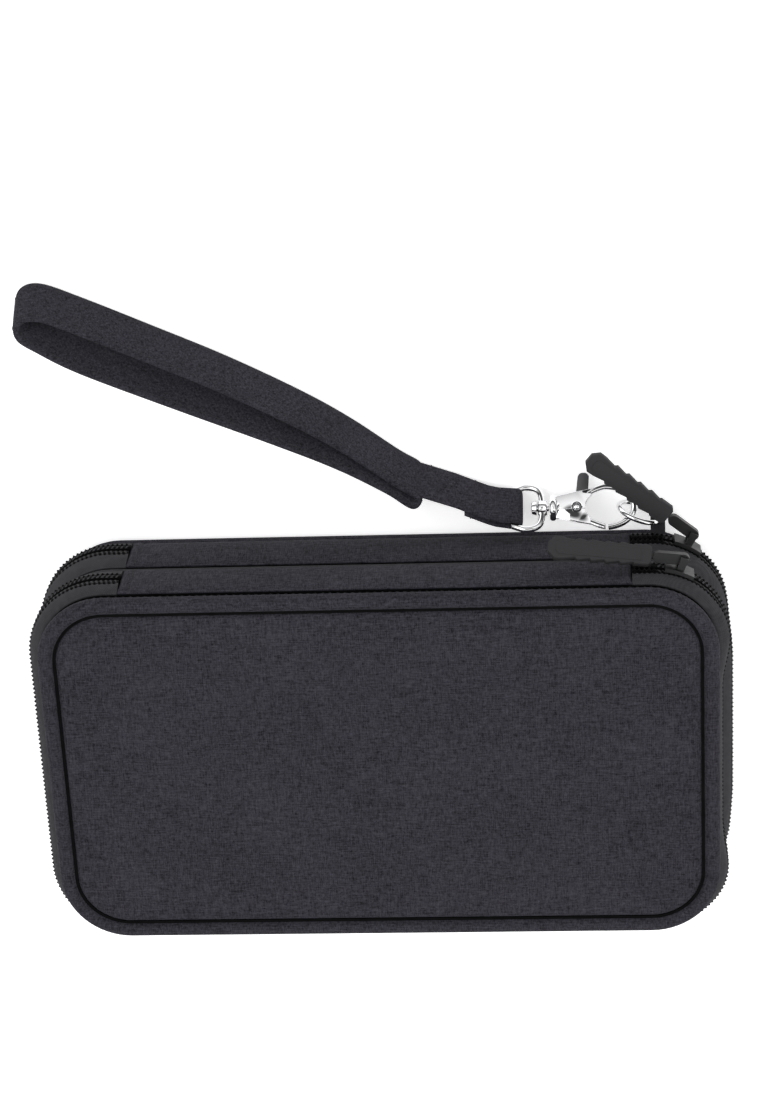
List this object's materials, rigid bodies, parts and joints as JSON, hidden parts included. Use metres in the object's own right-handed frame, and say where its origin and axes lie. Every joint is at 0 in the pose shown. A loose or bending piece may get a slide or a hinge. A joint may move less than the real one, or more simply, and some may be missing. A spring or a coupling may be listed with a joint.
{
  "type": "cable organizer pouch",
  "caption": "Zip-round organizer pouch with two padded compartments, elastic cable loops, mesh pockets and a wrist strap on a swivel snap hook.",
  "frame": {"origin": "centre of the back panel's resting face", "axes": "+Z out of the front panel, +Y out of the spine where the wrist strap hangs, +X towards the end that the zips close at"},
  "size_m": [0.2107, 0.2042, 0.0465],
  "materials": {
    "heather_fabric": "heathered charcoal polyester weave",
    "zip_tape": "smooth black-grey zip tape",
    "zip_coil": "dark nylon coil",
    "lining": "plain charcoal lining",
    "foam_board": "foam board",
    "elastic": "ribbed black elastic",
    "mesh": "open black mesh",
    "rubber_pull": "moulded grey rubber",
    "black_metal": "black enamelled metal",
    "chrome": "polished chrome plate",
    "dark_metal": "dark grey satin metal"
  },
  "bodies": {
    "back_cover": {"back_panel": "heather_fabric", "back_foam_board": "foam_board", "back_lining": "lining", "back_piping": "heather_fabric", "rear_spine_strip": "heather_fabric", "rear_lower_tape": "zip_tape", "rear_lower_coil": "zip_coil", "rear_cable_loops": "elastic", "tether_tab": "zip_tape"},
    "divider": {"divider_binding": "zip_tape", "divider_board": "foam_board", "divider_rear_lining": "lining", "divider_front_lining": "lining", "rear_upper_tape": "zip_tape", "rear_upper_coil": "zip_coil", "rear_zip_end_right": "zip_tape", "rear_zip_end_left": "zip_tape", "rear_mesh_pocket": "mesh", "rear_pocket_hem": "elastic", "front_spine_strip": "heather_fabric", "front_lower_tape": "zip_tape", "front_lower_coil": "zip_coil", "front_cable_loops": "elastic"},
    "front_cover": {"front_panel": "heather_fabric", "front_foam_board": "foam_board", "front_lining": "lining", "front_piping": "heather_fabric", "front_upper_tape": "zip_tape", "front_upper_coil": "zip_coil", "front_zip_end_right": "zip_tape", "front_zip_end_left": "zip_tape", "front_mesh_pocket": "mesh", "front_pocket_hem": "elastic"},
    "rear_slider": {"rear_slider": "black_metal"},
    "rear_pull": {"rear_pull_link": "black_metal", "rear_pull_tab": "rubber_pull"},
    "front_slider": {"front_slider": "black_metal"},
    "front_pull": {"front_pull_link": "black_metal", "front_pull_tab": "rubber_pull"},
    "tether_ring": {"tether_ring": "chrome"},
    "snap_hook": {"hook_body": "chrome", "gate_rivet": "chrome", "gate_spring": "dark_metal", "swivel_pin": "chrome"},
    "hook_gate": {"hook_gate": "dark_metal"},
    "d_ring": {"d_ring": "chrome"},
    "wrist_strap": {"wrist_strap_loop": "heather_fabric", "strap_end_fold": "heather_fabric"}
  },
  "joints": [
    {"name": "divider_hinge", "type": "hinge", "parent": "back_cover", "child": "divider", "pos_m": [0, 0.0597, 0.0226], "axis": [-1, 0, 0], "range_deg": [0, 90], "deforming": ["rear_zip_end_right", "rear_zip_end_left"]},
    {"name": "cover_hinge", "type": "hinge", "parent": "divider", "child": "front_cover", "pos_m": [0, 0.0597, 0.0415], "axis": [-1, 0, 0], "range_deg": [0, 80], "deforming": ["front_zip_end_right", "front_zip_end_left"]},
    {"name": "rear_zip_travel", "type": "hinge", "parent": "back_cover", "child": "rear_slider", "pos_m": [0.082, 0.0365, 0.0124], "axis": [0, 0, -1], "range_deg": [0, 50]},
    {"name": "rear_pull_swing", "type": "hinge", "parent": "rear_slider", "child": "rear_pull", "pos_m": [0.09491, 0.06078, 0.0124], "axis": [0, 0, -1], "range_deg": [0, 110]},
    {"name": "front_zip_travel", "type": "hinge", "parent": "divider", "child": "front_slider", "pos_m": [0.082, 0.0365, 0.0336], "axis": [0, 0, -1], "range_deg": [0, 58]},
    {"name": "front_pull_swing", "type": "hinge", "parent": "front_slider", "child": "front_pull", "pos_m": [0.09141, 0.06234, 0.0336], "axis": [0, 0, 1], "range_deg": [-120, 0]},
    {"name": "ring_swing", "type": "hinge", "parent": "back_cover", "child": "tether_ring", "pos_m": [0.08449, 0.06378, 0.0072], "axis": [0, 0, -1], "range_deg": [0, 18]},
    {"name": "hook_swing", "type": "hinge", "parent": "tether_ring", "child": "snap_hook", "pos_m": [0.07725, 0.0681, 0.00734], "axis": [0, 0, -1], "range_deg": [0, 15]},
    {"name": "gate_pivot", "type": "hinge", "parent": "snap_hook", "child": "hook_gate", "pos_m": [0.0602, 0.0681, 0.00734], "axis": [0, 0.5, 0.866], "range_deg": [0, 22], "stiffness_Nm_per_rad": 0.02, "springref_deg": -17.19},
    {"name": "d_ring_swivel", "type": "hinge", "parent": "snap_hook", "child": "d_ring", "pos_m": [0.0498, 0.0681, 0.00734], "axis": [-1, 0, 0], "range_deg": [-60, 0]},
    {"name": "strap_swing", "type": "hinge", "parent": "d_ring", "child": "wrist_strap", "pos_m": [0.041, 0.0681, 0.00734], "axis": [0, -0.5878, 0.809], "range_deg": [-60, 0]}
  ]
}
